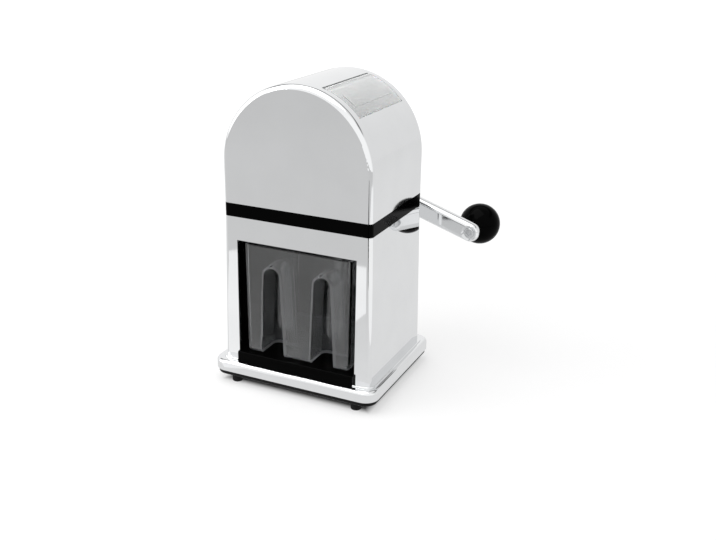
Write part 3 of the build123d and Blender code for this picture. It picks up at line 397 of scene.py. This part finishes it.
# ---------------------------------------------------------------- ice bin and lid
# The open bin and the lid are clear SAN, injection moulded: glossy, with a few wiped smears. One
# sees through the bin into the dark bay, so it looks smoked; the lid is a little frosted.
BIN_TINT = "#F0F1F2"
LID_TINT = "#F4F5F5"
SMEAR = 0.030
FLOW = 0.012            # faint waves of the moulding
FLOW_DEPTH = 0.00003
SHEEN_FROM = 0.5         # walls seen from the side are made milky: a painted sheen for the light they gather
SHEEN_TO = 0.95

for name, tint, low, high, clear, clear_where_sheen in (
    ("ice_bin", BIN_TINT, 0.02, 0.06, 1.0, 0.60),
    ("lid", LID_TINT, 0.05, 0.14, 0.70, 0.45),
):
    san = bpy.data.materials.new("clear_SAN_of_" + name)
    san.use_nodes = True
    tree = san.node_tree
    surface = tree.nodes["Principled BSDF"]
    surface.inputs["IOR"].default_value = 1.57
    surface.inputs["Base Color"].default_value = linear(tint)
    # Painted sheen: transmission drops where a wall is seen side-on, so it turns milky and bright.
    facing = add(tree, "ShaderNodeLayerWeight", {"Blend": 0.5})
    painted_sheen = add(tree, "ShaderNodeMapRange", {
        "From Min": SHEEN_FROM, "From Max": SHEEN_TO, "To Min": clear, "To Max": clear_where_sheen,
    }, {"Value": facing.outputs["Facing"]})
    where = add(tree, "ShaderNodeTexCoord")
    smear = add(tree, "ShaderNodeTexNoise", {"Scale": 1 / SMEAR, "Detail": 4.0},
                {"Vector": where.outputs["Object"]})
    gloss = add(tree, "ShaderNodeMapRange", {"To Min": low, "To Max": high},
                {"Value": smear.outputs["Fac"]})
    flow = add(tree, "ShaderNodeTexNoise", {"Scale": 1 / FLOW, "Detail": 1.0},
               {"Vector": where.outputs["Object"]})
    wave = add(tree, "ShaderNodeBump", {"Strength": 0.3, "Distance": FLOW_DEPTH},
               {"Height": flow.outputs["Fac"]})
    tree.links.new(painted_sheen.outputs["Result"], surface.inputs["Transmission Weight"])
    tree.links.new(gloss.outputs["Result"], surface.inputs["Roughness"])
    tree.links.new(wave.outputs["Normal"], surface.inputs["Normal"])
    ray = add(tree, "ShaderNodeLightPath")
    through = add(tree, "ShaderNodeBsdfTransparent", {"Color": linear(tint)})
    shown = add(tree, "ShaderNodeMixShader", None,
                {0: ray.outputs["Is Shadow Ray"], 1: surface.outputs[0], 2: through.outputs[0]})
    tree.links.new(shown.outputs[0], tree.nodes["Material Output"].inputs["Surface"])
    nodes[name].material_slots[0].material = san

# ---------------------------------------------------------------- hopper
# The chute under the lid is natural white polypropylene, moulded: waxy, a little milky, with
# dull scuffs where the ice cubes slide.
CHUTE_WHITE = "#E9EAEA"
CHUTE_SCUFFED = "#DCDDDD"
CHUTE_ROUGH = (0.3, 0.5)
SCUFF = 0.006

chute_pp = bpy.data.materials.new("white_polypropylene")
chute_pp.use_nodes = True
tree = chute_pp.node_tree
surface = tree.nodes["Principled BSDF"]
surface.inputs["IOR"].default_value = 1.49
surface.inputs["Subsurface Weight"].default_value = 0.3
surface.inputs["Subsurface Scale"].default_value = 0.002
where = add(tree, "ShaderNodeTexCoord")
scuff = add(tree, "ShaderNodeTexNoise", {"Scale": 1 / SCUFF, "Detail": 5.0},
            {"Vector": where.outputs["Object"]})
tone = add(tree, "ShaderNodeMix", {"data_type": "RGBA", 6: linear(CHUTE_WHITE), 7: linear(CHUTE_SCUFFED)},
           {0: scuff.outputs["Fac"]})
gloss = add(tree, "ShaderNodeMapRange", {"To Min": CHUTE_ROUGH[0], "To Max": CHUTE_ROUGH[1]},
            {"Value": scuff.outputs["Fac"]})
tree.links.new(tone.outputs[2], surface.inputs["Base Color"])
tree.links.new(gloss.outputs["Result"], surface.inputs["Roughness"])
nodes["hopper"].material_slots[0].material = chute_pp

# ---------------------------------------------------------------- crushing gear and hidden screws
# Shaft, claw blades, combs, spacers, pin and screws are stainless steel, blanked or turned and
# brushed lengthwise: satin metal with fine hairlines.
STEEL = "#CBCCCD"
STEEL_LINE = "#B5B6B8"
STEEL_ROUGH = (0.18, 0.36)
HAIRLINE = 0.0006       # real lines are 0.1 mm apart, drawn coarser so that they show
HAIRLINE_LENGTH = 12    # times their width
HAIRLINE_DEPTH = 0.00004

steel = bpy.data.materials.new("brushed_stainless_steel")
steel.use_nodes = True
tree = steel.node_tree
surface = tree.nodes["Principled BSDF"]
surface.inputs["Metallic"].default_value = 1.0
where = add(tree, "ShaderNodeTexCoord")
drawn = add(tree, "ShaderNodeMapping", {"Scale": (1 / HAIRLINE_LENGTH, 1, 1)},
            {"Vector": where.outputs["Object"]})
lines = add(tree, "ShaderNodeTexNoise", {"Scale": 1 / HAIRLINE, "Detail": 2.0},
            {"Vector": drawn.outputs["Vector"]})
tone = add(tree, "ShaderNodeMix", {"data_type": "RGBA", 6: linear(STEEL), 7: linear(STEEL_LINE)},
           {0: lines.outputs["Fac"]})
gloss = add(tree, "ShaderNodeMapRange", {"To Min": STEEL_ROUGH[0], "To Max": STEEL_ROUGH[1]},
            {"Value": lines.outputs["Fac"]})
scratch = add(tree, "ShaderNodeBump", {"Strength": 0.15, "Distance": HAIRLINE_DEPTH},
              {"Height": lines.outputs["Fac"]})
tree.links.new(tone.outputs[2], surface.inputs["Base Color"])
tree.links.new(gloss.outputs["Result"], surface.inputs["Roughness"])
tree.links.new(scratch.outputs["Normal"], surface.inputs["Normal"])
for name, node in nodes.items():
    if name.startswith(("rotor_", "comb_", "chamber_screws", "frame_screws", "lid_pin", "knob_spindle")):
        node.material_slots[0].material = steel

# ---------------------------------------------------------------- bushes
# The two shaft bushes are sintered bronze, pressed into the chamber's walls and oiled: a dull
# gold-brown with open pores.
BRONZE_PORE = "#7A6442"
BRONZE = "#B29468"
PORE = 0.0008
PORE_DEPTH = 0.0001

bronze = bpy.data.materials.new("sintered_bronze")
bronze.use_nodes = True
tree = bronze.node_tree
surface = tree.nodes["Principled BSDF"]
surface.inputs["Metallic"].default_value = 1.0
surface.inputs["Roughness"].default_value = 0.42
where = add(tree, "ShaderNodeTexCoord")
pore = add(tree, "ShaderNodeTexNoise", {"Scale": 1 / PORE, "Detail": 3.0},
           {"Vector": where.outputs["Object"]})
tone = add(tree, "ShaderNodeMix", {"data_type": "RGBA", 6: linear(BRONZE_PORE), 7: linear(BRONZE)},
           {0: pore.outputs["Fac"]})
pits = add(tree, "ShaderNodeBump", {"Strength": 0.4, "Distance": PORE_DEPTH},
           {"Height": pore.outputs["Fac"]})
tree.links.new(tone.outputs[2], surface.inputs["Base Color"])
tree.links.new(pits.outputs["Normal"], surface.inputs["Normal"])
for name in ("front_bush", "rear_bush"):
    nodes[name].material_slots[0].material = bronze

# ---------------------------------------------------------------- screws that show
# Pan-head screws of zinc-plated steel with a cross recess: one holds the crank on its shaft,
# one holds the knob's spindle from inside the arm's recess, four hold the pan from below.
ZINC = "#DFE0E1"
ZINC_CLOUDED = "#C8CACC"
ZINC_ROUGH = (0.14, 0.30)
PLATING_CLOUD = 0.0015
HEAD_T = 0.0024
HEAD_ROUND = 0.0009
ROUND_STEPS = 6
TURN_STEPS = 48
POINT = 0.0010          # chamfer at the screw's end
SLOT_SPAN = 1.15        # length of the cross and width of its arms, in head radii
SLOT_W = 0.28
SLOT_DEPTH = 0.0014
WELD = 1e-6
SHARP_FROM = radians(35)

zinc = bpy.data.materials.new("zinc_plated_steel")
zinc.use_nodes = True
tree = zinc.node_tree
surface = tree.nodes["Principled BSDF"]
surface.inputs["Metallic"].default_value = 1.0
where = add(tree, "ShaderNodeTexCoord")
cloud = add(tree, "ShaderNodeTexNoise", {"Scale": 1 / PLATING_CLOUD, "Detail": 3.0},
            {"Vector": where.outputs["Object"]})
tone = add(tree, "ShaderNodeMix", {"data_type": "RGBA", 6: linear(ZINC), 7: linear(ZINC_CLOUDED)},
           {0: cloud.outputs["Fac"]})
gloss = add(tree, "ShaderNodeMapRange", {"To Min": ZINC_ROUGH[0], "To Max": ZINC_ROUGH[1]},
            {"Value": cloud.outputs["Fac"]})
tree.links.new(tone.outputs[2], surface.inputs["Base Color"])
tree.links.new(gloss.outputs["Result"], surface.inputs["Roughness"])


def cross_screw(name, head_r, shank_r, length):
    """A pan-head screw along +Z, its head's top at z 0, cut with a cross."""
    crown = [
        (head_r - HEAD_ROUND * (1 - sin(a)), HEAD_ROUND * (1 - cos(a)))
        for a in (pi / 2 * i / ROUND_STEPS for i in range(ROUND_STEPS + 1))
    ]
    shank = [(head_r, HEAD_T), (shank_r, HEAD_T), (shank_r, length - POINT), (shank_r - POINT / 2, length)]
    body = bmesh.new()
    line = [body.verts.new((r, 0, z)) for r, z in [(0, 0), *crown, *shank, (0, length)]]
    edges = [body.edges.new(pair) for pair in zip(line, line[1:])]
    bmesh.ops.spin(body, geom=line + edges, cent=(0, 0, 0), axis=(0, 0, 1), angle=2 * pi,
                   steps=TURN_STEPS, use_merge=True)
    bmesh.ops.remove_doubles(body, verts=body.verts, dist=WELD)
    bmesh.ops.recalc_face_normals(body, faces=body.faces)
    solid = bpy.data.meshes.new(name)
    body.to_mesh(solid)
    body.free()
    screw = bpy.data.objects.new(name, solid)

    cross = bmesh.new()
    span, width = SLOT_SPAN * head_r, SLOT_W * head_r
    for size in ((span, width), (width, span)):
        bmesh.ops.create_cube(cross, size=1, matrix=Matrix.Diagonal((*size, 2 * SLOT_DEPTH, 1)))
    cutter = bpy.data.meshes.new("cross")
    cross.to_mesh(cutter)
    cross.free()
    tool = bpy.data.objects.new("cross", cutter)

    for o in (screw, tool):
        scene.collection.objects.link(o)
    cut = screw.modifiers.new("cross", "BOOLEAN")
    cut.object = tool
    cut.use_self = True
    bpy.context.view_layer.update()
    evaluated = screw.evaluated_get(bpy.context.evaluated_depsgraph_get())
    screw.data = bpy.data.meshes.new_from_object(evaluated)
    screw.modifiers.clear()
    bpy.data.objects.remove(tool)
    screw.data.name = name
    screw.data.materials.clear()
    screw.data.materials.append(zinc)
    screw.data.shade_smooth()
    screw.data.set_sharp_from_angle(angle=SHARP_FROM)
    return screw


for node, body, head_r, shank_r, along in (
    ("crank_screw", "crank", 0.0046, 0.0024, Vector((0, -1, 0))),
    ("knob_screw", "crank", 0.0046, 0.0024, Vector((0, 1, 0))),
    ("base_screws", "housing", 0.0030, 0.0016, Vector((0, 0, 1))),
):
    low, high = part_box(node)
    length = abs((high - low).dot(along))
    head_top = (low + high) / 2 - along * length / 2
    offsets = [Vector((0, 0, 0))]
    if node == "base_screws":
        reach = high - Vector((head_r, head_r, 0))
        offsets = [Vector((x * reach.x, y * reach.y, 0)) for x in (-1, 1) for y in (-1, 1)]
    upright = along.to_track_quat("Z", "X").to_matrix().to_4x4()
    for count, offset in enumerate(offsets, 1):
        screw = cross_screw(f"{node}_{count}", head_r, shank_r, length)
        screw.data.transform(Matrix.Translation(head_top + offset) @ upright)
        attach(screw, body)
        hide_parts(node)
